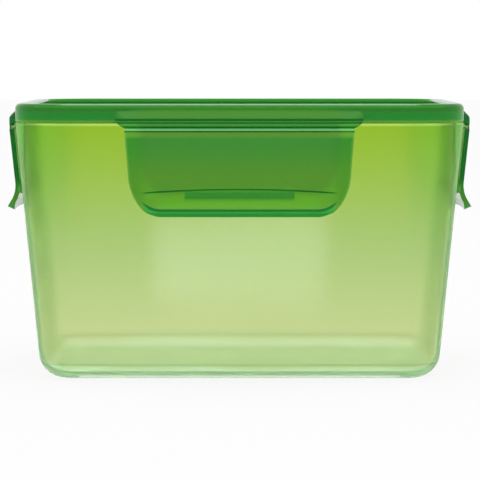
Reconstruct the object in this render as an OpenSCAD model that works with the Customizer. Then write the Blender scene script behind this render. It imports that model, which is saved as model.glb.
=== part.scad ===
// Snap lid food container: a tapered see-through tub, a lid with a sealing ring in its rim, and
// four flaps on living hinges whose hooks bear up under wedge ridges on the tub's walls.
// Millimetres, +Z up, front towards -Y, origin in the middle of the base.
// Profiles are written as [u, z] or [r, z]: u is the distance outwards from the lid's side, and
// r the distance outwards from a corner's centre line.

/* [Overall] */
// Width of the lid from left to right, without the flaps
lid_w = 180; // [150:1:240]
// Depth of the lid from front to back, without the flaps
lid_d = 130; // [104:1:180]
// Height of the tub from the table to its shoulder
tub_h = 102.8; // [70:0.2:130]
// Corner radius of the lid and of the tub's shoulder, in plan
corner_r = 24; // [20:0.5:30]

/* [Tub] */
// Slope of the tub's walls from the vertical, in degrees
draft = 5.5; // [3:0.1:6]
// Thickness of the tub's walls
wall_t = 2; // [1.4:0.1:2.6]
// Thickness of the tub's floor
floor_t = 2.2; // [1.4:0.1:3]
// Outer radius between the walls and the base
base_fillet = 10; // [6:0.5:12]
// Inner radius between the walls and the floor
floor_fillet = 8; // [4:0.5:10]
// Height of the pocket under the base that leaves a foot ring
foot_h = 0.8; // [0.4:0.1:1.4]
// Width of the foot ring
foot_w = 5; // [3:0.5:8]
// Corner radius of the pocket under the base
pocket_r = 8; // [4:0.5:14]
// Rounding of the shoulder's outer edge
shoulder_r = 0.8; // [0.4:0.1:1.2]
// Thickness of the neck that stands up into the lid
neck_t = 2; // [1.4:0.1:2.6]
// Rounding of the neck's upper edges
neck_r = 0.6; // [0.3:0.1:0.7]
// Depth below the shoulder over which the mouth is straight inside
mouth_h = 18; // [12:0.5:24]

/* [Lid] */
// Height of the lid's skirt, from the seam to the top of the rim
lid_h = 7.3; // [6:0.1:10]
// Thickness of the skirt
skirt_t = 1.6; // [1.2:0.1:2]
// Thickness of the rim's roof
roof_t = 1.5; // [1.2:0.1:2.4]
// Thickness of the rim's inner wall
inner_t = 1.8; // [1.4:0.1:2.4]
// Drop from the top of the rim to the centre panel
panel_drop = 3.6; // [2.6:0.1:4.4]
// Thickness of the centre panel
panel_t = 1.8; // [1.4:0.1:2.4]
// Depth of the rim's inner wall below the panel
plug_h = 2.5; // [1.5:0.1:4]
// Rounding of the lid's outer top edge
lid_edge_r = 2.2; // [0.8:0.1:2.4]
// Rounding of the rim's inner top edge
rim_edge_r = 1; // [0.5:0.1:1.5]
// Radius between the centre panel and the rim
panel_fillet = 1.5; // [0.5:0.1:1.6]

/* [Seal] */
// Height of the sealing ring in the rim's channel
seal_h = 1.7; // [1.2:0.1:2.2]
// Chamfer on the ring's lower edges
seal_chamfer = 0.5; // [0.2:0.1:0.8]

/* [Flaps] */
// Distance from a front or rear flap's end to the start of the lid's corner
long_flap_margin = 21; // [12:1:28]
// Distance from a side flap's end to the start of the lid's corner
short_flap_margin = 7; // [6:0.5:12]
// How far the flaps' outer faces stand out from the lid's sides at the hinge
flap_out = 3.1; // [2.6:0.1:3.8]
// Thickness of the flaps' plates
flap_t = 1.9; // [1.5:0.1:2.3]
// Length of a flap's flat plate below the hinge
plate_len = 20.6; // [17:0.1:27]
// Outer radius of the bend between plate and lip
lip_bend_r = 12; // [8:0.5:16]
// Angle through which the lip flares away from the tub, in degrees
lip_turn = 39; // [28:1:48]
// Straight length of the lip below the bend
lip_run = 4.9; // [3:0.1:6]
// Thickness of the lip at its end
lip_t = 3; // [2.3:0.1:3.4]
// Rounding of the lip's end
lip_edge_r = 0.9; // [0.4:0.1:1]
// Width of a flap's rounded lower corners
lip_corner_w = 13; // [8:0.5:15]
// Height of a flap's rounded lower corners
lip_corner_h = 17.4; // [10:0.2:20]
// How much a flap narrows at each side down to its lower corners
flap_taper = 1.2; // [0:0.1:2]
// How far the tongue that carries a flap runs out past it, at each end
tongue_blend = 4.7; // [3:0.1:5.5]
// How far the tongues reach down below the shoulder
tongue_drop = 1.6; // [1:0.1:2.4]
// Height of a tongue's upright face
tongue_face = 2.8; // [2:0.1:4]
// Length of the living hinge's film, between tongue and flap
film_len = 1.5; // [1:0.1:2]
// Thickness of the living hinge's film
film_t = 0.45; // [0.3:0.05:0.6]

/* [Catch] */
// Distance from a front or rear flap's end to its hook
long_hook_margin = 23; // [15:1:28]
// Distance from a side flap's end to its hook
short_hook_margin = 6; // [5:0.5:12]
// Height of the hook's slanted upper face
hook_ramp_h = 5.5; // [4.4:0.1:6.6]
// Height of the hook's inner face
hook_face_h = 1.4; // [1:0.1:2]
// Height of the hook's upper end above the end of the flap's plate
hook_rise = 1.2; // [0.8:0.1:3]
// Drop from the hook's upper end to the ridge's crest
ridge_drop = 1; // [0.8:0.1:1.5]
// How far the ridge on the tub runs out past the hook, at each end
ridge_over = 2; // [0:0.5:4]
// Height of the ridge's lead-in face above its crest
ridge_lead_h = 2; // [1.2:0.1:3]

/* [Clearances] */
// Gap between the lid's skirt and the tub's shoulder
seam_gap = 0.3; // [0.1:0.05:0.6]
// Gap between the neck and the skirt
neck_gap = 0.4; // [0.2:0.05:0.8]
// Gap between the neck and the rim's inner wall
plug_gap = 1.2; // [0.4:0.1:1.6]
// Gap between the sealing ring and the top of the neck
seal_gap = 0.1; // [0.05:0.05:0.3]
// Gap between the sealing ring and the channel's sides
seal_side_gap = 0.2; // [0.1:0.05:0.3]
// Gap between the hook and the tub's wall
hook_gap = 0.5; // [0.4:0.05:0.7]
// Gap between the hook's slanted face and the ridge
catch_gap = 0.3; // [0.2:0.05:0.35]

/* [Hidden] */
$fn = 64;

// Steps in the profiles' small and large arcs
SMALL_ARC = 4;
LARGE_ARC = 8;
// How deep one shape is set into another that it is one piece with
BITE = 0.8;
// Overlap of a cutting shape past the faces it cuts
PAST = 1;
// How far a flap's front outline reaches below its lip
LIP_PAST = 0.2;
// Least flat left beside a fillet that its wall limits
FLAT_LEFT = 1;
// How far a tongue starts behind the skirt's face, and below where the rim's rounding is as far in
TONGUE_SINK = 0.1;
TONGUE_BELOW = 0.1;
// The four sides, counted round from the front: front, right, rear, left
FRONT = 0;
RIGHT = 1;
REAR = 2;
LEFT = 3;
SIDES = [FRONT, RIGHT, REAR, LEFT];

TUB_COLOUR = [0.70, 0.81, 0.44];
LID_COLOUR = [0.22, 0.53, 0.20];
SEAL_COLOUR = [0.30, 0.58, 0.26];

// Half the straight run of the lid's long and short sides, which is where the corners' centres are
run_x = lid_w / 2 - corner_r;
run_y = lid_d / 2 - corner_r;

// Heights
seam_z = tub_h + seam_gap;
top_z = seam_z + lid_h;
roof_z = top_z - roof_t;
neck_z = roof_z - seal_h - seal_gap;
panel_z = top_z - panel_drop;
floor_z = foot_h + floor_t;

// Offsets across the rim, outwards from the lid's sides
channel_w = neck_gap + neck_t + plug_gap;
neck_u = -skirt_t - neck_gap;
mouth_u = neck_u - neck_t;
rim_u = -skirt_t - channel_w - inner_t;

// The tub's walls
slope = tan(draft);
function wall_u(z) = -(tub_h - z) * slope;
function wall_r(z) = corner_r + wall_u(z);
function wall_in_r(z) = wall_r(z) - wall_t / cos(draft);
flat_r = corner_r - tub_h * slope;
base_r = min(base_fillet, flat_r - FLAT_LEFT);
inside_r = min(floor_fillet, flat_r - wall_t - FLAT_LEFT);
base_flat_r = wall_r(base_r) - base_r / cos(draft);

// Tongues, hinges and flaps
tongue_z = tub_h - tongue_drop;
tongue_top_z = top_z - lid_edge_r - TONGUE_BELOW
    + sqrt(pow(lid_edge_r, 2) - pow(lid_edge_r - TONGUE_SINK, 2));
flap_z = tongue_z - film_len;
bend_from = -draft;
bend_to = lip_turn - draft;
plate_end = [flap_out, flap_z] + plate_len * down(bend_from);
bend_centre = plate_end + lip_bend_r * out(bend_from);
lip_end = bend_centre - lip_bend_r * out(bend_to) + lip_run * down(bend_to);
lip_taper = atan((lip_t - flap_t) / lip_run);
lip_round = lip_end - lip_edge_r * (out(bend_to) + down(bend_to));
lip_in_round = lip_end - lip_edge_r * down(bend_to)
    + (lip_edge_r * (1 + sin(lip_taper)) / cos(lip_taper) - lip_t) * out(bend_to);
flap_low_z = min([for (p = flap_section()) p[1]]);

// Hooks and ridges
hook_top_z = plate_end[1] + hook_rise;
hook_low_z = hook_top_z - hook_ramp_h;
hook_base_z = hook_low_z - hook_face_h;
hook_top_u = plate_in_u(hook_top_z);
hook_low_u = wall_u(hook_low_z) + hook_gap;
ramp = (hook_top_u - hook_low_u) / hook_ramp_h;
ridge_low_z = hook_low_z - (hook_gap - catch_gap) / (ramp - slope);
ridge_crest_z = hook_top_z - ridge_drop;
ridge_crest_u = hook_low_u + ramp * (ridge_crest_z - hook_low_z) - catch_gap;

// Half the flat of the base and of the pocket under it
base_half = [run_x + base_flat_r, run_y + base_flat_r];
pocket_half = base_half - [foot_w, foot_w];

function side_out(side) = (side % 2 == 0 ? lid_d : lid_w) / 2;
function flap_w(side) = 2 * (side % 2 == 0 ? run_x - long_flap_margin : run_y - short_flap_margin);
function hook_w(side) = flap_w(side) - 2 * (side % 2 == 0 ? long_hook_margin : short_hook_margin);

// Directions along and away from a flap whose lower end leans outwards by an angle
function down(lean) = [sin(lean), -cos(lean)];
function out(lean) = [cos(lean), sin(lean)];

// Inner face of a flap's plate, and of its bend, at a height
function plate_in_u(z) = flap_out - flap_t / cos(draft) - (flap_z - z) * slope;
function bend_in_u(z) = bend_centre[0] - sqrt(pow(lip_bend_r + flap_t, 2) - pow(z - bend_centre[1], 2));

// Points along an arc, both ends included
function arc(centre, radius, from, to, steps) = [
    for (i = [0:steps])
        let (angle = from + (to - from) * i / steps)
        centre + radius * [cos(angle), sin(angle)]
];

// An S-shaped blend from 0 to 1
function blend(t) = (1 - cos(180 * t)) / 2;

function shift_r(points) = [for (p = points) p + [corner_r, 0]];

// Wall of the tub from the floor's middle, round the base, up to the neck and down the inside
function tub_profile() = concat(
    [[0, 0]],
    arc([base_flat_r, base_r], base_r, -90, -draft, LARGE_ARC),
    arc(shoulder_centre(), shoulder_r, -draft, 90, SMALL_ARC),
    shift_r([[neck_u, tub_h]]),
    shift_r(arc([neck_u - neck_r, neck_z - neck_r], neck_r, 0, 90, SMALL_ARC)),
    shift_r(arc([mouth_u + neck_r, neck_z - neck_r], neck_r, 90, 180, SMALL_ARC)),
    shift_r([[mouth_u, tub_h - mouth_h]]),
    arc(inside_centre(), inside_r, -draft, -90, LARGE_ARC),
    [[0, floor_z]]
);

function shoulder_centre() =
    let (z = tub_h - shoulder_r)
    [wall_r(z) - shoulder_r / cos(draft), z];

function inside_centre() =
    let (z = floor_z + inside_r)
    [wall_in_r(z) - inside_r / cos(draft), z];

// Section of the lid from the panel's middle, over the rim, round the channel and back underneath
function lid_profile() = concat(
    [[0, panel_z - panel_t], [0, panel_z]],
    shift_r(arc([rim_u - panel_fillet, panel_z + panel_fillet], panel_fillet, -90, 0, SMALL_ARC)),
    shift_r(arc([rim_u + rim_edge_r, top_z - rim_edge_r], rim_edge_r, 180, 90, SMALL_ARC)),
    shift_r(arc([-lid_edge_r, top_z - lid_edge_r], lid_edge_r, 90, 0, SMALL_ARC)),
    shift_r([
        [0, seam_z],
        [-skirt_t, seam_z],
        [-skirt_t, roof_z],
        [-skirt_t - channel_w, roof_z],
        [-skirt_t - channel_w, panel_z - panel_t - plug_h],
        [rim_u, panel_z - panel_t - plug_h],
        [rim_u, panel_z - panel_t],
    ])
);

// Section of the sealing ring, with its lower edges chamfered
function seal_profile() =
    let (
        outer = -skirt_t - seal_side_gap,
        inner = -skirt_t - channel_w + seal_side_gap,
        low = roof_z - seal_h
    )
    shift_r([
        [outer, roof_z],
        [inner, roof_z],
        [inner, low + seal_chamfer],
        [inner + seal_chamfer, low],
        [outer - seal_chamfer, low],
        [outer, low + seal_chamfer],
    ]);

// Section of a tongue: set into the skirt, flaring out to the hinge
function tongue_section() =
    let (
        face_z = tongue_z + tongue_face,
        inner = flap_out - flap_t
    )
    concat(
        [[-BITE, seam_z], [-BITE, tongue_top_z]],
        [
            for (i = [0:LARGE_ARC])
                let (t = i / LARGE_ARC)
                [
                    -TONGUE_SINK + (flap_out + TONGUE_SINK) * blend(t),
                    tongue_top_z + (face_z - tongue_top_z) * t,
                ]
        ],
        [[flap_out, tongue_z], [inner, tongue_z], [inner, seam_z - inner / 2], [inner / 2, seam_z]]
    );

// Plan of a tongue: its ends run out into the lid's side
function tongue_plan(side) =
    let (
        half = flap_w(side) / 2,
        end = [
            for (i = [0:LARGE_ARC])
                let (t = i / LARGE_ARC)
                [
                    half + tongue_blend * (1 - t),
                    TONGUE_SINK - (flap_out + TONGUE_SINK) * blend(t),
                ]
        ],
        other_end = [for (i = [LARGE_ARC:-1:0]) [-end[i][0], end[i][1]]]
    )
    concat([[half + tongue_blend, skirt_t]], end, other_end, [[-half - tongue_blend, skirt_t]]);

// Rounding of the lip's end about a centre, from and to angles counted from the lip's outer face
function lip_corner(centre, from, to) = [
    for (i = [0:SMALL_ARC])
        let (a = from + (to - from) * i / SMALL_ARC)
        centre + lip_edge_r * (cos(a) * out(bend_to) + sin(a) * down(bend_to))
];

// Section of a flap: a plate along the wall, then a lip that bends away from it and thickens
function flap_section() =
    let (
        bend = [for (i = [0:LARGE_ARC]) bend_from + (bend_to - bend_from) * i / LARGE_ARC],
        outer = [for (a = bend) bend_centre - lip_bend_r * out(a)],
        inner = [for (a = bend) bend_centre - (lip_bend_r + flap_t) * out(a)],
        tip = lip_corner(lip_round, 0, 90),
        inner_tip = lip_corner(lip_in_round, 90, 180 + lip_taper)
    )
    concat(
        [[flap_out, flap_z]],
        outer,
        tip,
        inner_tip,
        [for (i = [LARGE_ARC:-1:0]) inner[i]],
        [[plate_in_u(flap_z), flap_z]]
    );

// Front outline of a flap, with its lower corners rounded off
function flap_outline(side) =
    let (
        half = flap_w(side) / 2,
        centre = [half - flap_taper - lip_corner_w, flap_low_z - LIP_PAST + lip_corner_h],
        corner = [
            for (i = [0:2 * LARGE_ARC])
                let (a = 90 * i / (2 * LARGE_ARC))
                centre + [lip_corner_w * cos(a), -lip_corner_h * sin(a)]
        ],
        other_corner = [for (i = [2 * LARGE_ARC:-1:0]) [-corner[i][0], corner[i][1]]]
    )
    concat(
        [[-half, flap_z], [-half, flap_z + PAST], [half, flap_z + PAST], [half, flap_z]],
        corner,
        other_corner
    );

// Section of a hook: a slanted upper face, an inner face and a flat underside
function hook_section() = [
    [hook_top_u, hook_top_z],
    [hook_low_u, hook_low_z],
    [wall_u(hook_base_z) + hook_gap, hook_base_z],
    [bend_in_u(hook_base_z) + flap_t / 2, hook_base_z],
    [hook_top_u + flap_t / 2, hook_top_z],
];

// Section of the wedge ridge on a wall of the tub
function ridge_section() =
    let (lead_z = ridge_crest_z + ridge_lead_h)
    [
        [wall_u(ridge_low_z), ridge_low_z],
        [ridge_crest_u, ridge_crest_z],
        [wall_u(lead_z), lead_z],
        [wall_u(lead_z) - BITE, lead_z],
        [wall_u(ridge_low_z) - BITE, ridge_low_z],
    ];

// Carries a profile round the rounded rectangle: four turned corners and four straight runs
module around(profile) {
    for (sx = [1, -1], sy = [1, -1])
        translate([sx * run_x, sy * run_y, 0])
            rotate([0, 0, sx > 0 ? (sy > 0 ? 0 : 270) : (sy > 0 ? 90 : 180)])
                rotate_extrude(angle = 90)
                    polygon(profile);
    for (side = SIDES)
        rotate([0, 0, 90 * side])
            translate([0, side % 2 == 0 ? -run_y : -run_x, 0])
                along(side % 2 == 0 ? 2 * run_x : 2 * run_y)
                    polygon(profile);
}

// Stretches a section along a side, its first axis pointing outwards to -Y
module along(length) {
    rotate([90, 0, -90])
        linear_extrude(height = length, center = true)
            children();
}

// Moves what is drawn at the front's place to one of the four sides
module on_side(side) {
    rotate([0, 0, 90 * side])
        translate([0, -side_out(side), 0])
            children();
}

// The flat middle of a floor or a panel, between the corners' centres
module middle(low, high) {
    translate([-run_x, -run_y, low])
        cube([2 * run_x, 2 * run_y, high - low]);
}

module rounded_plate(half, radius, height) {
    linear_extrude(height = height) {
        square(2 * [half[0] - radius, half[1]], center = true);
        square(2 * [half[0], half[1] - radius], center = true);
        for (sx = [1, -1], sy = [1, -1])
            translate([sx * (half[0] - radius), sy * (half[1] - radius)])
                circle(r = radius);
    }
}

module ridge(side) {
    along(hook_w(side) + 2 * ridge_over)
        polygon(ridge_section());
}

module tongue(side) {
    intersection() {
        along(flap_w(side) + 2 * tongue_blend)
            polygon(tongue_section());
        translate([0, 0, tongue_z - PAST])
            linear_extrude(height = tongue_top_z - tongue_z + 2 * PAST)
                polygon(tongue_plan(side));
    }
}

module tub() {
    color(TUB_COLOUR)
        difference() {
            union() {
                around(tub_profile());
                middle(0, floor_z);
                for (side = SIDES)
                    on_side(side)
                        ridge(side);
            }
            translate([0, 0, -PAST])
                rounded_plate(pocket_half, pocket_r, foot_h + PAST);
        }
}

module lid() {
    color(LID_COLOUR)
        union() {
            around(lid_profile());
            middle(panel_z - panel_t, panel_z);
            for (side = SIDES)
                on_side(side)
                    tongue(side);
        }
}

module seal() {
    color(SEAL_COLOUR)
        around(seal_profile());
}

module flap(side) {
    color(LID_COLOUR)
        on_side(side) {
            intersection() {
                along(flap_w(side) + 2 * PAST)
                    polygon(flap_section());
                rotate([90, 0, 0])
                    linear_extrude(height = 4 * lip_bend_r, center = true)
                        polygon(flap_outline(side));
            }
            along(hook_w(side))
                polygon(hook_section());
        }
}

module hinge_film(side) {
    color(LID_COLOUR)
        on_side(side)
            along(flap_w(side))
                translate([flap_out - film_t, flap_z])
                    square([film_t, film_len]);
}

tub();
lid();
seal();
flap(FRONT);  // front_flap
flap(RIGHT);  // right_flap
flap(REAR);  // rear_flap
flap(LEFT);  // left_flap
hinge_film(FRONT);  // front_hinge_film
hinge_film(RIGHT);  // right_hinge_film
hinge_film(REAR);  // rear_hinge_film
hinge_film(LEFT);  // left_hinge_film
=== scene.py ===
"""Snap lid food container: see-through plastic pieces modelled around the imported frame.

Shapes are drawn in millimetres and scaled to metres when a piece is finished. The front faces -Y.
A profile point is (r, z), with r counted outwards from a corner's centre line, and a section point
is (u, z), with u counted outwards from the lid's side.
"""

import math
from collections import namedtuple

import bmesh
import bpy
from mathutils import Matrix, Vector


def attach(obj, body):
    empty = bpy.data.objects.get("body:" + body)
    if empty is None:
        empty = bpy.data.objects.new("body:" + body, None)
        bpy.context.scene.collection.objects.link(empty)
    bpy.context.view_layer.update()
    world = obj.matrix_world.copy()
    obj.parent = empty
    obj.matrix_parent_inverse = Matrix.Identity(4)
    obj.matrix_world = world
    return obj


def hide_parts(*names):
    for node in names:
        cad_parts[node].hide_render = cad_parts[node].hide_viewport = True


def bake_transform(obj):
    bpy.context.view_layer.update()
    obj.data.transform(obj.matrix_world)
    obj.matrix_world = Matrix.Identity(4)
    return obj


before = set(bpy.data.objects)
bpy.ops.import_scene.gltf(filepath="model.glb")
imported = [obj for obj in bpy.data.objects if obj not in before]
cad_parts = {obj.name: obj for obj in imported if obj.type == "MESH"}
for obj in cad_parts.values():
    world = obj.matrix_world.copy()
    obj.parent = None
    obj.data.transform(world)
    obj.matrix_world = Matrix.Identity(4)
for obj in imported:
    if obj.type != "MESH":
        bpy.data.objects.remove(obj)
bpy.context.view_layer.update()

MM = 0.001

# Overall sizes
LID_W = 180.0
LID_D = 130.0
TUB_H = 102.8
CORNER_R = 24.0
RUN_X = LID_W / 2 - CORNER_R
RUN_Y = LID_D / 2 - CORNER_R

# Tub
DRAFT = math.radians(5.5)
SLOPE = math.tan(DRAFT)
WALL_T = 2.0
FOOT_H = 0.8
FLOOR_Z = FOOT_H + 2.2
BASE_R = 10.0
INSIDE_R = 8.0
FOOT_W = 5.0
POCKET_R = 8.0
FOOT_EDGE_R = 0.4
CUT_PAST = 1.0
SHOULDER_R = 0.8
NECK_T = 2.0
NECK_R = 0.6
NECK_GAP = 0.4
MOUTH_H = 18.0

# Lid
SEAM_Z = TUB_H + 0.3
TOP_Z = SEAM_Z + 7.3
SKIRT_T = 1.6
CHANNEL_W = 3.6
INNER_T = 1.8
ROOF_Z = TOP_Z - 1.5
PANEL_Z = TOP_Z - 3.6
PANEL_LOW_Z = PANEL_Z - 1.8
PLUG_LOW_Z = PANEL_LOW_Z - 2.5
LID_EDGE_R = 2.2
RIM_EDGE_R = 1.0
PANEL_FILLET = 1.5
SKIRT_EDGE_R = 0.35

# Sealing ring
SEAL_H = 1.7
SEAL_SIDE_GAP = 0.2
SEAL_CHAMFER = 0.5
NECK_Z = ROOF_Z - SEAL_H - 0.1

# Tongues, hinges and flaps
FLAP_OUT = 3.1
FLAP_T = 1.9
TONGUE_Z = TUB_H - 1.6
TONGUE_TOP_Z = TOP_Z - 1.65
TONGUE_FACE = 2.8
TONGUE_BLEND = 4.7
TONGUE_SINK = 0.1
TONGUE_EDGE_R = 0.4
TONGUE_ROOT_RISE = 0.4
TONGUE_ROOT_GAP = 0.1
TONGUE_STEPS = 14
TONGUE_BLEND_STEPS = 12
FILM_LEN = 1.5
FILM_T = 0.45
FILM_SET_IN = 0.12
FILM_ROWS = 12
FLAP_Z = TONGUE_Z - FILM_LEN
PLATE_LEN = 20.6
LIP_BEND_R = 12.0
LIP_TURN = math.radians(39)
LIP_RUN = 4.25
LIP_T = 3.0
LIP_ARCH = 0.8
LIP_CORNER_W = 13.0
LIP_CORNER_H = 17.4
FLAP_TAPER = 1.2
FLAP_EDGE_R = 0.55
FLAP_EDGE_STEPS = 4
FLAP_EDGE_ANGLE = math.radians(55)

# Hooks and the ridges that they hold on to
HOOK_RAMP_H = 5.5
HOOK_FACE_H = 1.4
HOOK_RISE = 1.2
HOOK_GAP = 0.5
CATCH_GAP = 0.3
RIDGE_DROP = 1.0
RIDGE_OVER = 2.0
RIDGE_LEAD_H = 2.0

# How deep one shape is set into another that it is one piece with
BITE = 0.8
# Air left between pieces that touch, so that no two faces lie in one plane
HAIR = 0.03
# Least distance that keeps two points of a section apart
SLIVER = 0.01

# Sides, counted round from the front: name, distance from the middle, flap width, hook width
Side = namedtuple("Side", "name out flap_w hook_w")
SIDES = (
    Side("front", LID_D / 2, 90.0, 44.0),
    Side("right", LID_W / 2, 68.0, 56.0),
    Side("rear", LID_D / 2, 90.0, 44.0),
    Side("left", LID_W / 2, 68.0, 56.0),
)
FRONT, RIGHT = SIDES[:2]

# Fineness of the meshes
CORNER_STEPS = 24
ARC_STEP = math.radians(7.5)
SUPPORT = 0.6
SHARP_ANGLE = math.radians(24)
MERGE_DIST = 0.001
LEVEL_TOLERANCE = 0.01
PLATE_SHARES = (0, 0.03, 0.1, 0.2, 0.3, 0.4, 0.5, 0.6, 0.7, 0.8, 0.9, 0.97)
BEND_STEPS = 16
LIP_STEPS = 10
FLAP_COLUMNS = 8


def arc(centre, radius, start, end):
    """Points along an arc, both ends included; the angles are in degrees."""
    start, end = math.radians(start), math.radians(end)
    steps = max(3, round(abs(end - start) / ARC_STEP))
    angles = [start + (end - start) * i / steps for i in range(steps + 1)]
    return [
        (centre[0] + radius * math.cos(a), centre[1] + radius * math.sin(a))
        for a in angles
    ]


def supported(points):
    """Adds a point near both ends of each long straight stretch, so that flat faces shade flat."""
    out = [points[0]]
    for start, end in zip(points, points[1:]):
        a, b = Vector(start), Vector(end)
        if (b - a).length > 4 * SUPPORT:
            step = (b - a).normalized() * SUPPORT
            out += [tuple(a + step), tuple(b - step)]
        out.append(end)
    return out


def wall_u(z):
    return -(TUB_H - z) * SLOPE


def wall_r(z):
    return CORNER_R + wall_u(z)


def new_verts(geom):
    return [g for g in geom if isinstance(g, bmesh.types.BMVert)]


def new_edges(geom):
    return [g for g in geom if isinstance(g, bmesh.types.BMEdge)]


def draw_wire(bm, points):
    """Draws points as one open wire and returns its edges."""
    verts = [bm.verts.new(p) for p in points]
    return [bm.edges.new(pair) for pair in zip(verts, verts[1:])]


def carry_straight(bm, edges, travel):
    """Extrudes a wire along a straight run, with supporting loops near its ends."""
    length = travel.length
    for share in (SUPPORT / length, 1 - 2 * SUPPORT / length, SUPPORT / length):
        made = bmesh.ops.extrude_edge_only(bm, edges=edges)["geom"]
        verts = new_verts(made)
        bmesh.ops.translate(bm, verts=verts, vec=travel * share)
        ends = set(verts)
        edges = [e for e in new_edges(made) if ends.issuperset(e.verts)]
    return edges


def carry_round(bm, profile, run_x, run_y):
    """Carries an (r, z) profile round a rounded rectangle: straight runs extruded, corners spun."""
    edges = draw_wire(bm, [(run_x + r, -run_y, z) for r, z in profile])
    legs = (
        (Vector((0, 2 * run_y, 0)), (run_x, run_y, 0)),
        (Vector((-2 * run_x, 0, 0)), (-run_x, run_y, 0)),
        (Vector((0, -2 * run_y, 0)), (-run_x, -run_y, 0)),
        (Vector((2 * run_x, 0, 0)), (run_x, -run_y, 0)),
    )
    for travel, centre in legs:
        edges = carry_straight(bm, edges, travel)
        spun = bmesh.ops.spin(
            bm,
            geom=edges + list({v for e in edges for v in e.verts}),
            cent=centre,
            axis=(0, 0, 1),
            angle=math.pi / 2,
            steps=CORNER_STEPS,
            use_merge=False,
            use_duplicate=False,
        )
        edges = new_edges(spun["geom_last"])
    bmesh.ops.remove_doubles(bm, verts=bm.verts, dist=MERGE_DIST)


def open_edges(bm, height):
    """Boundary edges that lie at a height."""
    return [
        e
        for e in bm.edges
        if e.is_boundary and all(abs(v.co.z - height) < LEVEL_TOLERANCE for v in e.verts)
    ]


def fill_level(bm, height):
    """Closes the flat opening at a height with one face."""
    bmesh.ops.holes_fill(bm, edges=open_edges(bm, height), sides=0)


def finished(bm, name, material):
    """Turns a bmesh in millimetres into an object in metres with smooth faces and crisp edges."""
    bmesh.ops.recalc_face_normals(bm, faces=bm.faces)
    bmesh.ops.scale(bm, verts=bm.verts, vec=(MM, MM, MM))
    mesh = bpy.data.meshes.new(name)
    bm.to_mesh(mesh)
    bm.free()
    piece = bpy.data.objects.new(name, mesh)
    bpy.context.scene.collection.objects.link(piece)
    mesh.materials.append(material)
    smooth_faces(piece)
    return piece


def smooth_faces(piece):
    piece.data.shade_smooth()
    piece.data.set_sharp_from_angle(angle=SHARP_ANGLE)


def weigh_normals(piece):
    """Lets the large flat faces rule the shading along their edges."""
    modifier = piece.modifiers.new("even_shading", "WEIGHTED_NORMAL")
    modifier.mode = "FACE_AREA"
    modifier.keep_sharp = True


def combine(piece, others, operation="UNION"):
    """Makes one closed solid of a piece and the solids that are moulded on to it or cut out of it."""
    for other in others:
        modifier = piece.modifiers.new("moulded_on", "BOOLEAN")
        modifier.operation = operation
        modifier.solver = "MANIFOLD"
        modifier.object = other
    depsgraph = bpy.context.evaluated_depsgraph_get()
    joined = bpy.data.meshes.new_from_object(piece.evaluated_get(depsgraph))
    piece.modifiers.clear()
    piece.data = joined
    joined.name = piece.name
    for other in others:
        bpy.data.objects.remove(other)
    smooth_faces(piece)


def put_on_side(bm, side):
    """Moves what was drawn in (x, -u, z) at the front to one of the four sides."""
    place = Matrix.Rotation(side * math.pi / 2, 4, "Z") @ Matrix.Translation(
        (0, -SIDES[side].out, 0)
    )
    bmesh.ops.transform(bm, matrix=place, verts=bm.verts)


def loft(bm, rings):
    """Extrudes a first ring's face through the other rings, which have the same count of points."""
    face = bm.faces.new([bm.verts.new(p) for p in rings[0]])
    for ring in rings[1:]:
        made = bmesh.ops.extrude_face_region(bm, geom=[face], use_keep_orig=True)
        ahead = next(g for g in made["geom"] if isinstance(g, bmesh.types.BMFace))
        if ring is not rings[1]:
            bmesh.ops.delete(bm, geom=[face], context="FACES_ONLY")
        for vert, point in zip(ahead.verts, ring):
            vert.co = point
        face = ahead


def prism(section, width):
    """A bmesh of a (u, z) section stretched along a side, centred on it."""
    bm = bmesh.new()
    loft(bm, [[(x, -u, z) for u, z in section] for x in (-width / 2, width / 2)])
    return bm


def beyond(start, end, extra):
    """The point past the end of a stretch, on the same line."""
    a, b = Vector(start), Vector(end)
    return tuple(b + (b - a).normalized() * extra)


# Lines that the flaps follow


def lean_down(lean):
    """Direction down along a flap whose lower end leans outwards by an angle."""
    return Vector((math.sin(lean), -math.cos(lean)))


def lean_out(lean):
    return Vector((math.cos(lean), math.sin(lean)))


LIP_LEAN = LIP_TURN - DRAFT


def flap_path(across):
    """Stations down a flap's outer face, as (point, lean, thickness).

    The bend starts lower towards the flap's ends, where across is -1 and 1, but the lip's end is
    level.
    """
    plate_len = PLATE_LEN + LIP_ARCH * across * across
    lip_run = LIP_RUN - (plate_len - PLATE_LEN) * math.cos(DRAFT) / math.cos(LIP_LEAN)
    hinge = Vector((FLAP_OUT, FLAP_Z))
    plate_end = hinge + plate_len * lean_down(-DRAFT)
    centre = plate_end + LIP_BEND_R * lean_out(-DRAFT)
    stations = [(hinge.lerp(plate_end, share), -DRAFT, FLAP_T) for share in PLATE_SHARES]
    for i in range(BEND_STEPS + 1):
        lean = -DRAFT + LIP_TURN * i / BEND_STEPS
        stations.append((centre - LIP_BEND_R * lean_out(lean), lean, FLAP_T))
    bend_end = stations[-1][0]
    for i in range(1, LIP_STEPS + 1):
        share = math.sin(math.pi / 2 * i / LIP_STEPS)
        point = bend_end + lip_run * share * lean_down(LIP_LEAN)
        stations.append((point, LIP_LEAN, FLAP_T + (LIP_T - FLAP_T) * share))
    return stations


PLATE_END = Vector((FLAP_OUT, FLAP_Z)) + PLATE_LEN * lean_down(-DRAFT)
BEND_CENTRE = PLATE_END + LIP_BEND_R * lean_out(-DRAFT)
LIP_TIP = flap_path(0)[-1][0]
FLAP_LOW_Z = LIP_TIP.y - LIP_T * math.sin(LIP_LEAN)


def plate_in_u(z):
    return FLAP_OUT - FLAP_T / math.cos(DRAFT) - (FLAP_Z - z) * SLOPE


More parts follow.
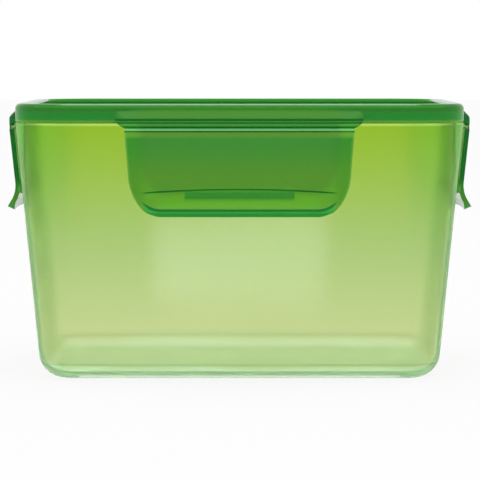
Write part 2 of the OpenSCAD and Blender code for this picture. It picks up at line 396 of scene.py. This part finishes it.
def bend_in_u(z):
    reach = LIP_BEND_R + FLAP_T
    return BEND_CENTRE.x - math.sqrt(reach**2 - (z - BEND_CENTRE.y) ** 2)


HOOK_TOP_Z = PLATE_END.y + HOOK_RISE
HOOK_LOW_Z = HOOK_TOP_Z - HOOK_RAMP_H
HOOK_BASE_Z = HOOK_LOW_Z - HOOK_FACE_H
HOOK_TOP_U = plate_in_u(HOOK_TOP_Z)
HOOK_LOW_U = wall_u(HOOK_LOW_Z) + HOOK_GAP
RAMP = (HOOK_TOP_U - HOOK_LOW_U) / HOOK_RAMP_H
RIDGE_LOW_Z = HOOK_LOW_Z - (HOOK_GAP - CATCH_GAP) / (RAMP - SLOPE)
RIDGE_CREST_Z = HOOK_TOP_Z - RIDGE_DROP
RIDGE_CREST_U = HOOK_LOW_U + RAMP * (RIDGE_CREST_Z - HOOK_LOW_Z) - CATCH_GAP


# Shader sockets


class Shade:
    """A socket of a node tree. Arithmetic on it adds Math nodes."""

    def __init__(self, tree, socket=None):
        self.tree = tree
        self.socket = socket

    def make(self, kind, settings, inputs, output=0):
        """Adds a node of a type, with its settings first and then its sockets' values or links."""
        node = self.tree.nodes.new(kind)
        for name, value in settings.items():
            if name == "stops":
                ramp = node.color_ramp.elements
                for place, colour in value:
                    stop = ramp.new(place)
                    stop.color = colour
                ramp.remove(ramp[0])
                ramp.remove(ramp[-1])
            else:
                setattr(node, name, value)
        for name, value in inputs.items():
            if isinstance(value, Shade):
                self.tree.links.new(value.socket, node.inputs[name])
            else:
                node.inputs[name].default_value = value
        return Shade(self.tree, node.outputs[output] if node.outputs else None)

    def math(self, operation, first, second):
        return self.make(
            "ShaderNodeMath", {"operation": operation}, {0: first, 1: second}
        )

    def __add__(self, other):
        return self.math("ADD", self, other)

    def __radd__(self, other):
        return self.math("ADD", other, self)

    def __sub__(self, other):
        return self.math("SUBTRACT", self, other)

    def __rsub__(self, other):
        return self.math("SUBTRACT", other, self)

    def __mul__(self, other):
        return self.math("MULTIPLY", self, other)

    def __rmul__(self, other):
        return self.math("MULTIPLY", other, self)

    def larger(self, other):
        return self.math("MAXIMUM", self, other)

    def size(self):
        """The value without its sign."""
        return self.math("ABSOLUTE", self, 0.0)

    def near(self, place, reach):
        """1 at a place, easing to 0 at a reach on both sides of it."""
        return 1 - (self - place).size().eased(0.3 * reach, reach)

    def eased(self, low, high):
        """A smooth step from 0 at low to 1 at high."""
        return self.make(
            "ShaderNodeMapRange",
            {"interpolation_type": "SMOOTHSTEP"},
            {"Value": self, "From Min": low, "From Max": high},
        )

    def colour(self, first, second):
        """Mixes two colours by this value."""
        return self.make(
            "ShaderNodeMix",
            {"data_type": "RGBA"},
            {"Factor": self, 6: first, 7: second},
            output=2,
        )

    def tinted(self, colour, tint):
        """Multiplies a colour by a tint as far as this value says."""
        return self.make(
            "ShaderNodeMix",
            {"data_type": "RGBA", "blend_type": "MULTIPLY"},
            {"Factor": self, 6: colour, 7: tint},
            output=2,
        )


def blank_material(name):
    """A material with an empty tree, as a Shade to build on."""
    material = bpy.data.materials.new(name)
    material.use_nodes = True
    material.node_tree.nodes.clear()
    return material, Shade(material.node_tree)


def rgb(red, green, blue):
    return (red, green, blue, 1.0)


def object_place(shade):
    return shade.make("ShaderNodeTexCoord", {}, {}, output=3)


def axis_mm(shade, place, axis):
    """A coordinate in millimetres."""
    return 1000 * shade.make("ShaderNodeSeparateXYZ", {}, {"Vector": place}, output=axis)


def past_runs(shade, place):
    """How far a point lies past the ends of the straight runs, in X and in Y."""
    x = (axis_mm(shade, place, 0).size() - RUN_X).larger(0.0)
    y = (axis_mm(shade, place, 1).size() - RUN_Y).larger(0.0)
    return x, y


def reach_of(shade, place):
    """Distance outwards from the lid's rounded outline, seen from above."""
    x, y = past_runs(shade, place)
    return shade.math("POWER", x * x + y * y, 0.5) - CORNER_R


def noise(shade, place, scale, detail):
    return shade.make(
        "ShaderNodeTexNoise", {}, {"Vector": place, "Scale": scale, "Detail": detail}
    )


def moulded_surface(shade, place, ripple):
    """The faint waviness of a moulded face, as a normal."""
    waves = noise(shade, place, 45.0, 1.0)
    return shade.make(
        "ShaderNodeBump", {}, {"Height": waves, "Strength": ripple, "Distance": MM}
    )


PLASTIC_RIPPLE = 0.02
PLASTIC_HAZE = 0.02
COAT_ROUGHNESS = 0.05
COAT_IOR = 1.4


def clear_plastic(name, colour, roughness, clearness, shine, ior, coat, tint, density):
    """See-through plastic: a coloured body that soaks up light along the way through it."""
    material, shade = blank_material(name)
    place = object_place(shade)
    haze = noise(shade, place, 160.0, 3.0)
    surface = shade.make(
        "ShaderNodeBsdfPrincipled",
        {},
        {
            "Base Color": colour(shade, place),
            "Roughness": roughness + PLASTIC_HAZE * haze,
            "Normal": moulded_surface(shade, place, PLASTIC_RIPPLE),
            "Transmission Weight": clearness,
            "Specular IOR Level": shine,
            "IOR": ior,
            "Coat Weight": coat,
            "Coat Roughness": COAT_ROUGHNESS,
            "Coat IOR": COAT_IOR,
        },
    )
    volume = shade.make(
        "ShaderNodeVolumeAbsorption", {}, {"Color": tint, "Density": density}
    )
    shade.make(
        "ShaderNodeOutputMaterial", {}, {"Surface": surface, "Volume": volume}
    )
    return material


# The tub's tones from the base up, at shares of its height: painted light makes the base paler, as if
# lit from the white floor, and painted shade deepens and greens the tone towards the lid
TUB_TONES_AND_SHADE = (
    (0.035, rgb(0.89, 1.0, 0.83)),
    (0.06, rgb(0.79, 0.84, 0.565)),
    (0.5, rgb(0.65, 0.772, 0.435)),
    (0.98, rgb(0.55, 0.728, 0.13)),
)
TUB_CLOUD_H = 8
CORNER_SHADE_TINT = rgb(0.78, 0.93, 0.98)
CORNER_GLOW_GREEN = rgb(0.57, 0.88, 0.25)
FOOT_SHADE_TINT = rgb(0.66, 0.74, 0.68)
BASE_LINE_Z = 6.2
BASE_LINE_TINT = rgb(0.68, 0.78, 0.70)
SHOULDER_HIGHLIGHT = rgb(0.92, 1.0, 0.72)


def tub_colour(shade, place):
    """Yellow-green with painted light and shade: paler towards the base, deeper below the lid, painted
    shade and a painted glow at the corners, painted shade at the foot and a painted highlight on the
    shoulder.

    Each tone has a mask from 0 to 1, and the limits of a mask are in millimetres.
    """
    height = axis_mm(shade, place, 2)
    cloud = noise(shade, place, 14.0, 2.0)
    level = (height + TUB_CLOUD_H * (cloud - 0.5)) * (1 / TUB_H)
    # Painted light and shade: paler towards the base, deeper and greener towards the lid
    colour = shade.make("ShaderNodeValToRGB", {"stops": TUB_TONES_AND_SHADE}, {0: level})
    round_x, round_y = past_runs(shade, place)
    # Painted shade: the rounded corners darker and bluer, more so towards the top, for light's longer
    # way through the slanted wall
    rounding = (round_x * round_y).eased(90.0, 240.0) * (0.2 + 0.8 * height.eased(30.0, 85.0))
    colour = rounding.tinted(colour, CORNER_SHADE_TINT)
    # Painted light: a paler green glow on the rounded corners below the lid
    green = 0.5 * round_x.eased(12.0, 22.0) * round_y.eased(3.0, 12.0)
    colour = (green * height.eased(60.0, 90.0)).colour(colour, CORNER_GLOW_GREEN)
    # Painted shade: the foot ring's outer edge darker where it meets the floor
    foot = (1 - height.eased(0.5, 1.4)) * reach_of(shade, place).eased(-19.5, -17.5)
    colour = foot.tinted(colour, FOOT_SHADE_TINT)
    colour = height.near(BASE_LINE_Z, 0.6).tinted(colour, BASE_LINE_TINT)
    # Painted highlight: a pale line along the shoulder just below the lid
    return height.near(TUB_H - 0.3, 1.0).colour(colour, SHOULDER_HIGHLIGHT)


# Tones of the lid and its flaps
LID_GREENS = (rgb(0.105, 0.52, 0.068), rgb(0.125, 0.56, 0.078))
LOW_PLATE_GREEN = rgb(0.21, 0.57, 0.053)
FLAP_SIDE_TINT = rgb(0.72, 0.84, 0.75)
LIT_LIP_TONE = rgb(0.225, 0.63, 0.042)
HOOK_GREEN = rgb(0.065, 0.42, 0.05)
HEM_GREEN = rgb(0.03, 0.56, 0.08)
FLAP_TOP_HIGHLIGHT = rgb(0.24, 0.60, 0.07)
THIN_FILM_AND_HIGHLIGHT = rgb(0.38, 0.92, 0.42)
RIM_GREEN = rgb(0.06, 0.41, 0.048)
LOW_RIM_GREEN = rgb(0.045, 0.49, 0.06)
LIT_SLOPE_GREEN = rgb(0.13, 0.54, 0.035)
SEAM_GLOW_GREEN = rgb(0.24, 0.62, 0.07)
CREST_HIGHLIGHT = rgb(0.45, 0.88, 0.42)
EDGE_HIGHLIGHT_GREEN = rgb(0.55, 0.92, 0.25)
LIGHTENED_INSIDE_GREEN = rgb(0.50, 0.88, 0.34)
FLAP_END_GREEN = rgb(0.008, 0.30, 0.04)
GROOVE_SHADE_GREEN = rgb(0.001, 0.25, 0.02)

# The crease lies below the plate's end and sags towards the flap's ends; the hem is the lip's end
CREASE_DROP = 2.2
CREASE_SAG = 0.001
HEM_H = 2.6


def lid_colour(shade, place):
    """Deep green, with painted shade in dark lines along the hinges, seam, crease and hem, painted light
    on the lip, tongues, rim's foot and side flaps' insides, painted highlights on the crest and edges,
    and paler, with a painted highlight, where the hinge plastic is thin.

    Each tone has a mask from 0 to 1, and the limits of a mask are in millimetres.
    """
    width = axis_mm(shade, place, 0).size()
    depth = axis_mm(shade, place, 1).size()
    height = axis_mm(shade, place, 2)
    reach = reach_of(shade, place)
    on_sides = (width - LID_W / 2).eased(-6.0, -5.0)
    along = width * (1 - on_sides) + depth * on_sides
    from_end = along - FRONT.flap_w / 2 + (FRONT.flap_w - RIGHT.flap_w) / 2 * on_sides
    from_hook = along - FRONT.hook_w / 2 - (RIGHT.hook_w - FRONT.hook_w) / 2 * on_sides
    on_tongue = reach.eased(0.1, 0.6) * height.eased(TONGUE_Z, TONGUE_Z + 0.3)
    on_rim = (1 - on_tongue) * height.eased(SEAM_Z - 0.5, SEAM_Z)
    on_flap = 1 - height.eased(FLAP_Z - 1, FLAP_Z)
    below_hinge = FLAP_Z - height

    # Plate
    cloud = noise(shade, place, 20.0, 2.0)
    colour = cloud.colour(*LID_GREENS)
    low_plate = 1 - height.eased(PLATE_END.y + 2, FLAP_Z - 4)
    colour = low_plate.colour(colour, LOW_PLATE_GREEN)
    flap_side = from_end.eased(-10.0, -4.0) * on_flap
    colour = flap_side.tinted(colour, FLAP_SIDE_TINT)

    # Lip, with painted light, and hem
    above_crease = height - (PLATE_END.y - CREASE_DROP - CREASE_SAG * along * along)
    corner = ((from_end + FLAP_TAPER + LIP_CORNER_W) * (1 / LIP_CORNER_W)).larger(0.0)
    corner_rise = 1 - shade.math("POWER", (1 - corner * corner).larger(0.0), 0.5)
    above_hem = height - (FLAP_LOW_Z + HEM_H + LIP_CORNER_H * corner_rise)
    # Painted light: the flared lip paler and warmer, for light that comes through its bend
    lip = (1 - above_crease.eased(-1.8, -0.4)) * above_hem.eased(0.0, 0.8)
    lip = lip * (1 - from_end.eased(-18.0, -10.0))
    colour = lip.colour(colour, LIT_LIP_TONE)
    hook_band = height.near(HOOK_BASE_Z + 1.2, 2.6) * (1 - from_hook.eased(-0.8, 0.0))
    colour = hook_band.colour(colour, HOOK_GREEN)
    hem = (1 - above_hem.eased(-0.4, 0.2)) * (1 - corner.eased(0.35, 0.6))
    colour = hem.colour(colour, HEM_GREEN)

    # Hinge, with a painted highlight on the flap's top edge and a paler, highlighted strip
    # Painted highlight along the flap's rounded top edge
    flap_top_highlight = height.near(FLAP_Z - 1.0, 1.9)
    colour = flap_top_highlight.colour(colour, FLAP_TOP_HIGHLIGHT)
    # The hinge strip paler where its plastic is thin, with a painted highlight on it too
    film = height.near(FLAP_Z + FILM_LEN / 2, 0.6)
    colour = film.colour(colour, THIN_FILM_AND_HIGHLIGHT)

    # Rim and tongues, with painted light on the tongues' slopes and the rim's foot, and a painted
    # highlight on the crest
    colour = on_rim.colour(colour, RIM_GREEN)
    low_rim = (1 - height.eased(ROOF_Z - 2, ROOF_Z - 1)) * on_rim
    colour = low_rim.colour(colour, LOW_RIM_GREEN)
    # Painted light: the tongue's upward slope lighter and more olive, as if lit from above
    slope = height.near(TONGUE_Z + TONGUE_FACE + 2.5, 3.1) * reach.eased(-1.0, -0.5)
    slope = slope * (1 - from_end.eased(-14.0, 2.0))
    colour = slope.colour(colour, LIT_SLOPE_GREEN)
    # Painted light: a pale line along the rim's foot, for light coming out of the seam
    seam_glow = height.near(SEAM_Z + 0.2, 1.0) * on_rim
    colour = seam_glow.colour(colour, SEAM_GLOW_GREEN)
    round_x, round_y = past_runs(shade, place)
    # Painted highlight along the rim's crest, faded out at the corners
    crest = height.eased(TOP_Z - 0.6, TOP_Z - 0.3) * reach.eased(-2.6, -2.2)
    crest = crest * (1 - (round_x * round_y).eased(20.0, 160.0))
    colour = crest.colour(colour, CREST_HIGHLIGHT)

    # Painted highlights along the edges of the flaps, painted light on the side flaps' inner faces, and
    # the side flaps' ends
    # Painted highlight: a pale line along the flaps' rounded edges
    edge_highlight = shade.make("ShaderNodeAttribute", {"attribute_name": "edge_highlight"}, {}, output="Fac")
    edge_highlight = 0.5 * edge_highlight * corner.eased(0.3, 0.7)
    colour = edge_highlight.colour(colour, EDGE_HIGHLIGHT_GREEN)
    # Painted light: the side flaps' inner faces paler, for light that reaches them from outside
    plate_middle = reach - FLAP_OUT + FLAP_T / 2 + SLOPE * below_hinge
    lightened_inside = (1 - plate_middle.eased(-0.3, 0.3)) * on_flap * on_sides
    colour = lightened_inside.colour(colour, LIGHTENED_INSIDE_GREEN)
    stands_out = reach + SLOPE * below_hinge.larger(0.0)
    flap_end = from_end.eased(-3.5, -1.5) * on_sides * stands_out.eased(0.2, 0.6)
    colour = flap_end.colour(colour, FLAP_END_GREEN)

    # Painted shade: dark lines along the hinge, the seam, the tongue's face, the crease and the hem
    line = height.near(TONGUE_Z + 0.2, 0.6).larger(height.near(FLAP_Z, 0.4))
    line = line.larger(height.near(SEAM_Z, 0.4) * on_tongue)
    line = line.larger(height.near(TONGUE_Z + TONGUE_FACE + 0.3, 0.7) * on_tongue)
    line = line.larger(above_crease.near(0.0, 0.5) * (1 - from_end.eased(-10.0, -5.0)))
    line = line.larger(above_hem.near(0.0, 0.8) * (1 - corner.eased(0.4, 0.65)))
    return line.colour(colour, GROOVE_SHADE_GREEN)


SEAL_GREENS = (rgb(0.22, 0.50, 0.19), rgb(0.27, 0.55, 0.23))
SEAL_ROUGHNESS = 0.45
SEAL_GRAIN = 0.15
SEAL_RIPPLE = 0.05


def seal_colour(shade, place):
    cloud = noise(shade, place, 60.0, 2.0)
    return cloud.colour(*SEAL_GREENS)


# The tub's walls bend light so little that they hardly guide it; the coat gives the gloss
TUB_PLASTIC = clear_plastic(
    "tub_plastic",
    tub_colour,
    roughness=0.36,
    clearness=1.0,
    shine=0.5,
    ior=1.03,
    coat=0.5,
    tint=rgb(0.36, 0.85, 0.32),
    density=14.0,
)
LID_PLASTIC = clear_plastic(
    "lid_plastic",
    lid_colour,
    roughness=0.14,
    clearness=0.58,
    shine=0.08,
    ior=1.12,
    coat=0.3,
    tint=rgb(0.17, 0.83, 0.0),
    density=60.0,
)


def silicone(name):
    material, shade = blank_material(name)
    place = object_place(shade)
    grain = noise(shade, place, 900.0, 2.0)
    surface = shade.make(
        "ShaderNodeBsdfPrincipled",
        {},
        {
            "Base Color": seal_colour(shade, place),
            "Roughness": SEAL_ROUGHNESS + SEAL_GRAIN * grain,
            "Normal": moulded_surface(shade, place, SEAL_RIPPLE),
        },
    )
    shade.make("ShaderNodeOutputMaterial", {}, {"Surface": surface})
    return material


SEAL_SILICONE = silicone("seal_silicone")


# Tub


def tub_profile():
    """From the foot ring round the base, up the wall to the neck, and down the inside to the floor."""
    draft = math.degrees(DRAFT)
    base = (wall_r(BASE_R) - BASE_R / math.cos(DRAFT), BASE_R)
    shoulder_z = TUB_H - SHOULDER_R
    shoulder = (wall_r(shoulder_z) - SHOULDER_R / math.cos(DRAFT), shoulder_z)
    neck_out = CORNER_R - SKIRT_T - NECK_GAP
    neck_in = neck_out - NECK_T
    inside_z = FLOOR_Z + INSIDE_R
    inside = (wall_r(inside_z) - (WALL_T + INSIDE_R) / math.cos(DRAFT), inside_z)
    neck_top = NECK_Z - NECK_R
    return supported(
        [(0, 0)]
        + arc(base, BASE_R, -90, -draft)
        + arc(shoulder, SHOULDER_R, -draft, 90)
        + [(neck_out, TUB_H)]
        + arc((neck_out - NECK_R, neck_top), NECK_R, 0, 90)
        + arc((neck_in + NECK_R, neck_top), NECK_R, 90, 180)
        + [(neck_in, TUB_H - MOUTH_H)]
        + arc(inside, INSIDE_R, -draft, -90)
        + [(0, FLOOR_Z)]
    )


def catch_ridge(side):
    """The wedge on a wall of the tub that a flap's hook bears up under."""
    lead_z = RIDGE_CREST_Z + RIDGE_LEAD_H
    low = (wall_u(RIDGE_LOW_Z), RIDGE_LOW_Z)
    crest = (RIDGE_CREST_U, RIDGE_CREST_Z)
    lead = (wall_u(lead_z), lead_z)
    section = [beyond(crest, low, BITE), crest, beyond(crest, lead, BITE)]
    bm = prism(section, SIDES[side].hook_w + 2 * RIDGE_OVER)
    put_on_side(bm, side)
    return finished(bm, "ridge", TUB_PLASTIC)


def base_pocket():
    """The shallow hollow under the base that leaves a foot ring."""
    base_flat = wall_r(BASE_R) - BASE_R / math.cos(DRAFT)
    inset = FOOT_W - base_flat + POCKET_R
    bm = bmesh.new()
    profile = [(POCKET_R, -CUT_PAST)] + arc(
        (POCKET_R - FOOT_EDGE_R, FOOT_H - FOOT_EDGE_R), FOOT_EDGE_R, 0, 90
    )
    carry_round(bm, profile, RUN_X - inset, RUN_Y - inset)
    fill_level(bm, -CUT_PAST)
    fill_level(bm, FOOT_H)
    return finished(bm, "pocket", TUB_PLASTIC)


def make_tub():
    bm = bmesh.new()
    carry_round(bm, tub_profile(), RUN_X, RUN_Y)
    fill_level(bm, 0)
    fill_level(bm, FLOOR_Z)
    tub = finished(bm, "tub_shell", TUB_PLASTIC)
    combine(tub, [base_pocket()], "DIFFERENCE")
    combine(tub, [catch_ridge(side) for side in range(len(SIDES))])
    return tub


# Lid and sealing ring


def lid_profile():
    """From under the panel round the channel and the skirt, over the rim and down to the panel's top."""
    rim_r = CORNER_R - SKIRT_T - CHANNEL_W - INNER_T
    channel_in = CORNER_R - SKIRT_T - CHANNEL_W
    channel_out = CORNER_R - SKIRT_T
    edge = SKIRT_EDGE_R
    return supported(
        [(0, PANEL_LOW_Z), (rim_r, PANEL_LOW_Z)]
        + arc((rim_r + edge, PLUG_LOW_Z + edge), edge, 180, 270)
        + arc((channel_in - edge, PLUG_LOW_Z + edge), edge, 270, 360)
        + [(channel_in, ROOF_Z), (channel_out, ROOF_Z)]
        + arc((channel_out + edge, SEAM_Z + edge), edge, 180, 270)
        + arc((CORNER_R - edge, SEAM_Z + edge), edge, 270, 360)
        + arc((CORNER_R - LID_EDGE_R, TOP_Z - LID_EDGE_R), LID_EDGE_R, 0, 90)
        + arc((rim_r + RIM_EDGE_R, TOP_Z - RIM_EDGE_R), RIM_EDGE_R, 90, 180)
        + arc((rim_r - PANEL_FILLET, PANEL_Z + PANEL_FILLET), PANEL_FILLET, 0, -90)
        + [(0, PANEL_Z)]
    )


def tongue_section(share):
    """Section of a tongue where it stands out by a share of its full reach."""
    out = TONGUE_SINK * (share - 1) + FLAP_OUT * share
    inner = 2 * TONGUE_SINK * (share - 1) + (FLAP_OUT - FLAP_T) * share
    low = SEAM_Z + TONGUE_ROOT_RISE * (1 - share) + (TONGUE_Z - SEAM_Z) * share
    face_z = low + TONGUE_FACE
    edge = TONGUE_EDGE_R * share + SLIVER
    flare = [
        (
            -TONGUE_SINK + (out + TONGUE_SINK) * (1 - math.cos(math.pi * i / TONGUE_STEPS)) / 2,
            TONGUE_TOP_Z + (face_z - TONGUE_TOP_Z) * i / TONGUE_STEPS,
        )
        for i in range(TONGUE_STEPS + 1)
    ]
    root_z = SEAM_Z + SKIRT_EDGE_R + TONGUE_ROOT_GAP
    return (
        [(-BITE, root_z), (-BITE, TONGUE_TOP_Z)]
        + flare
        + arc((out - edge, low + edge), edge, 0, -90)
        + arc((inner + edge / 2, low + edge / 2), edge / 2, -90, -180)
        + [(inner - SLIVER, root_z - TONGUE_ROOT_GAP / 2)]
    )


def tongue(side):
    """The flared strip along the lid's edge that carries a flap."""
    half = SIDES[side].flap_w / 2
    places = []
    for i in range(TONGUE_BLEND_STEPS + 1):
        share = i / TONGUE_BLEND_STEPS
        eased = (1 - math.cos(math.pi * share)) / 2
        places.append((half + TONGUE_BLEND * (1 - share), eased))
    columns = [(-x, s) for x, s in places] + [(x, s) for x, s in reversed(places)]
    bm = bmesh.new()
    loft(bm, [[(x, -u, z) for u, z in tongue_section(s)] for x, s in columns])
    put_on_side(bm, side)
    return finished(bm, "tongue", LID_PLASTIC)


def make_lid():
    bm = bmesh.new()
    carry_round(bm, lid_profile(), RUN_X, RUN_Y)
    fill_level(bm, PANEL_LOW_Z)
    fill_level(bm, PANEL_Z)
    lid = finished(bm, "lid_cover", LID_PLASTIC)
    combine(lid, [tongue(side) for side in range(len(SIDES))])
    return lid


def make_seal():
    outer = CORNER_R - SKIRT_T - SEAL_SIDE_GAP
    inner = CORNER_R - SKIRT_T - CHANNEL_W + SEAL_SIDE_GAP
    low = ROOF_Z - SEAL_H
    top = ROOF_Z - HAIR
    cut = SEAL_CHAMFER
    section = (
        [(outer, top), (inner, top), (inner, low + cut)]
        + [(inner + cut, low), (outer - cut, low), (outer, low + cut), (outer, top)]
    )
    bm = bmesh.new()
    carry_round(bm, section, RUN_X, RUN_Y)
    return finished(bm, "sealing_ring", SEAL_SILICONE)


# Flaps and their hinges


def flap_half_width(side, z):
    """Half of a flap's width at a height: tapering sides, then elliptical lower corners."""
    half = SIDES[side].flap_w / 2
    corner_z = FLAP_LOW_Z + LIP_CORNER_H
    if z >= corner_z:
        return half - FLAP_TAPER * (FLAP_Z - z) / (FLAP_Z - corner_z)
    drop = min(1.0, (corner_z - z) / LIP_CORNER_H)
    return half - FLAP_TAPER - LIP_CORNER_W * (1 - math.sqrt(1 - drop * drop))


def flap_body(side):
    """The plate and its flared lip, with rounded edges."""
    columns = range(-FLAP_COLUMNS, FLAP_COLUMNS + 1)
    spread = [math.sin(math.pi / 2 * i / FLAP_COLUMNS) for i in columns]
    paths = [flap_path(across) for across in spread]
    rings = []
    for row in zip(*paths):
        outer, inner = [], []
        for across, (point, lean, thick) in zip(spread, row):
            behind = point - thick * lean_out(lean)
            if point.y > FLAP_Z - HAIR:
                behind.y = point.y
            edge, edge_lean, edge_thick = row[0]
            edge_behind = edge - edge_thick * lean_out(edge_lean)
            wide = flap_half_width(side, edge.y)
            narrow = flap_half_width(side, edge_behind.y)
            outer.append((across * wide, -point.x, min(point.y, FLAP_Z - HAIR)))
            inner.append((across * narrow, -behind.x, min(behind.y, FLAP_Z - HAIR)))
        rings.append(outer + inner[::-1])
    bm = bmesh.new()
    loft(bm, rings)
    bmesh.ops.recalc_face_normals(bm, faces=bm.faces)
    rim = [e for e in bm.edges if e.calc_face_angle(0) > FLAP_EDGE_ANGLE]
    rounded = bmesh.ops.bevel(
        bm,
        geom=rim,
        offset=FLAP_EDGE_R,
        offset_type="OFFSET",
        segments=FLAP_EDGE_STEPS,
        profile=0.5,
        affect="EDGES",
        material=-1,
        clamp_overlap=True,
    )
    # This layer marks where a rounded edge faces outwards, for the material's painted highlight along
    # the flaps' edges
    edge_highlight = bm.verts.layers.float.new("edge_highlight")
    for vert in {v for face in rounded["faces"] for v in face.verts}:
        vert[edge_highlight] = max(0.0, -vert.normal.y)
    put_on_side(bm, side)
    return finished(bm, SIDES[side].name + "_snap_flap", LID_PLASTIC)


def hook(side):
    """The wedge inside a flap that holds it shut."""
    low = (HOOK_LOW_U, HOOK_LOW_Z)
    top = (HOOK_TOP_U, HOOK_TOP_Z)
    section = [
        beyond(low, top, BITE / 2),
        low,
        (wall_u(HOOK_BASE_Z) + HOOK_GAP, HOOK_BASE_Z),
        (bend_in_u(HOOK_BASE_Z) + FLAP_T / 2, HOOK_BASE_Z),
    ]
    bm = prism(section, SIDES[side].hook_w)
    put_on_side(bm, side)
    return finished(bm, "hook", LID_PLASTIC)


def make_flap(side):
    flap = flap_body(side)
    combine(flap, [hook(side)])
    return flap


def make_hinge(side):
    """The thin strip that a flap turns on, with rows enough to bend."""
    half = SIDES[side].flap_w / 2
    outer = FLAP_OUT - FILM_SET_IN
    low = FLAP_Z + HAIR
    high = TONGUE_Z - HAIR
    bm = bmesh.new()
    rings = []
    for i in range(FILM_ROWS + 1):
        z = high + (low - high) * i / FILM_ROWS
        rings.append(
            [
                (-half, -outer, z),
                (half, -outer, z),
                (half, -outer + FILM_T, z),
                (-half, -outer + FILM_T, z),
            ]
        )
    loft(bm, rings)
    put_on_side(bm, side)
    return finished(bm, SIDES[side].name + "_hinge_strip", LID_PLASTIC)


# Pieces, each in the place of its CAD node

tub = make_tub()
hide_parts("tub")
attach(tub, "tub")
weigh_normals(tub)

lid = make_lid()
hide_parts("lid")
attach(lid, "lid")
weigh_normals(lid)

seal = make_seal()
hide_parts("seal")
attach(seal, "lid")

for index, side in enumerate(SIDES):
    flap = make_flap(index)
    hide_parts(side.name + "_flap")
    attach(flap, side.name + "_flap")
    weigh_normals(flap)
    strip = make_hinge(index)
    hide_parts(side.name + "_hinge_film")
    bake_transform(strip)


# Floor, background and light

WHITE = rgb(1.0, 1.0, 1.0)
FLOOR_GREY = rgb(0.92, 0.92, 0.92)
FLOOR_GLOW = 0.88
FLOOR_HALF_W = 6.0
FLOOR_DROP = 0.0003
GLEAM = 0.8
GLEAM_ROUGHNESS = 0.07
GLEAM_END_Y = -130.0
GLEAM_NONE_Y = -100.0
WORLD_LEVEL = 0.8
CAMERA_PLACE = (0.0002, -1.042, 0.13)
CAMERA_DIP = math.radians(4.27)
CAMERA_LENS = 186.8
LIGHT_BOUNCES = 96


def ray_is(shade, kind):
    """1 for rays of a kind: Camera, Glossy or Transmission."""
    return shade.make("ShaderNodeLightPath", {}, {}, output="Is " + kind + " Ray")


def seen_directly(shade):
    """1 for rays that come from the camera, from a reflection or through see-through plastic."""
    seen = ray_is(shade, "Camera").larger(ray_is(shade, "Glossy"))
    return seen.larger(ray_is(shade, "Transmission"))


def make_floor():
    """A pale floor that takes the shadow, and that mirrors the front lamp ahead of the tub."""
    material, shade = blank_material("studio_floor")
    diffuse = shade.make("ShaderNodeBsdfDiffuse", {}, {"Color": FLOOR_GREY})
    glow = shade.make("ShaderNodeEmission", {}, {"Color": WHITE})
    both = shade.make(
        "ShaderNodeMixShader",
        {},
        {0: FLOOR_GLOW * seen_directly(shade), 1: diffuse, 2: glow},
    )
    polish = shade.make(
        "ShaderNodeBsdfGlossy", {}, {"Color": WHITE, "Roughness": GLEAM_ROUGHNESS}
    )
    reflected = ray_is(shade, "Glossy") * (1 - ray_is(shade, "Transmission"))
    ahead = 1 - axis_mm(shade, object_place(shade), 1).eased(GLEAM_END_Y, GLEAM_NONE_Y)
    gleam = GLEAM * reflected * ahead
    surface = shade.make("ShaderNodeMixShader", {}, {0: gleam, 1: both, 2: polish})
    shade.make("ShaderNodeOutputMaterial", {}, {"Surface": surface})
    bm = bmesh.new()
    bmesh.ops.create_grid(bm, x_segments=1, y_segments=1, size=FLOOR_HALF_W)
    bmesh.ops.translate(bm, verts=bm.verts, vec=(0, 0, -FLOOR_DROP))
    mesh = bpy.data.meshes.new("studio_floor")
    bm.to_mesh(mesh)
    bm.free()
    floor = bpy.data.objects.new("studio_floor", mesh)
    bpy.context.scene.collection.objects.link(floor)
    mesh.materials.append(material)
    return floor


def make_world():
    world = bpy.data.worlds.new("studio")
    bpy.context.scene.world = world
    world.use_nodes = True
    world.node_tree.nodes.clear()
    shade = Shade(world.node_tree)
    level = seen_directly(shade)
    background = shade.make(
        "ShaderNodeBackground",
        {},
        {"Color": WHITE, "Strength": WORLD_LEVEL + (1 - WORLD_LEVEL) * level},
    )
    shade.make("ShaderNodeOutputWorld", {}, {"Surface": background})


def soft_lamp(name, place, target, size, power):
    """A square or oblong soft lamp that faces a target."""
    light = bpy.data.lights.new(name, "AREA")
    light.shape = "RECTANGLE"
    light.size, light.size_y = size
    light.energy = power
    lamp = bpy.data.objects.new(name, light)
    lamp.location = place
    direction = Vector(target) - Vector(place)
    lamp.rotation_euler = direction.to_track_quat("-Z", "Y").to_euler()
    bpy.context.scene.collection.objects.link(lamp)
    return lamp


def make_camera():
    camera = bpy.data.cameras.new("photo_view")
    camera.sensor_width = 36.0
    camera.lens = CAMERA_LENS
    camera.clip_end = 50.0
    holder = bpy.data.objects.new("photo_view", camera)
    holder.location = CAMERA_PLACE
    holder.rotation_euler = (math.pi / 2 - CAMERA_DIP, 0, 0)
    bpy.context.scene.collection.objects.link(holder)
    bpy.context.scene.camera = holder


floor = make_floor()
make_world()
soft_lamp("overhead", place=(0, -0.2, 1.6), target=(0, 0, 0.05), size=(1.4, 1.4), power=6.2)
front_strip = soft_lamp(
    "front_strip", place=(0, -1.94, 0.475), target=(0, 0, 0.06), size=(0.2, 0.1), power=0.6
)
# The strip lamp reaches the object only by way of the floor's gleam
lit_by_strip = bpy.data.collections.new("lit_by_front_strip")
lit_by_strip.objects.link(floor)
front_strip.light_linking.receiver_collection = lit_by_strip
make_camera()
bpy.context.scene.view_settings.view_transform = "Standard"
# Light runs a long way inside thin clear walls before it leaves them
bpy.context.scene.cycles.max_bounces = LIGHT_BOUNCES
bpy.context.scene.cycles.glossy_bounces = LIGHT_BOUNCES
bpy.context.scene.cycles.transmission_bounces = LIGHT_BOUNCES
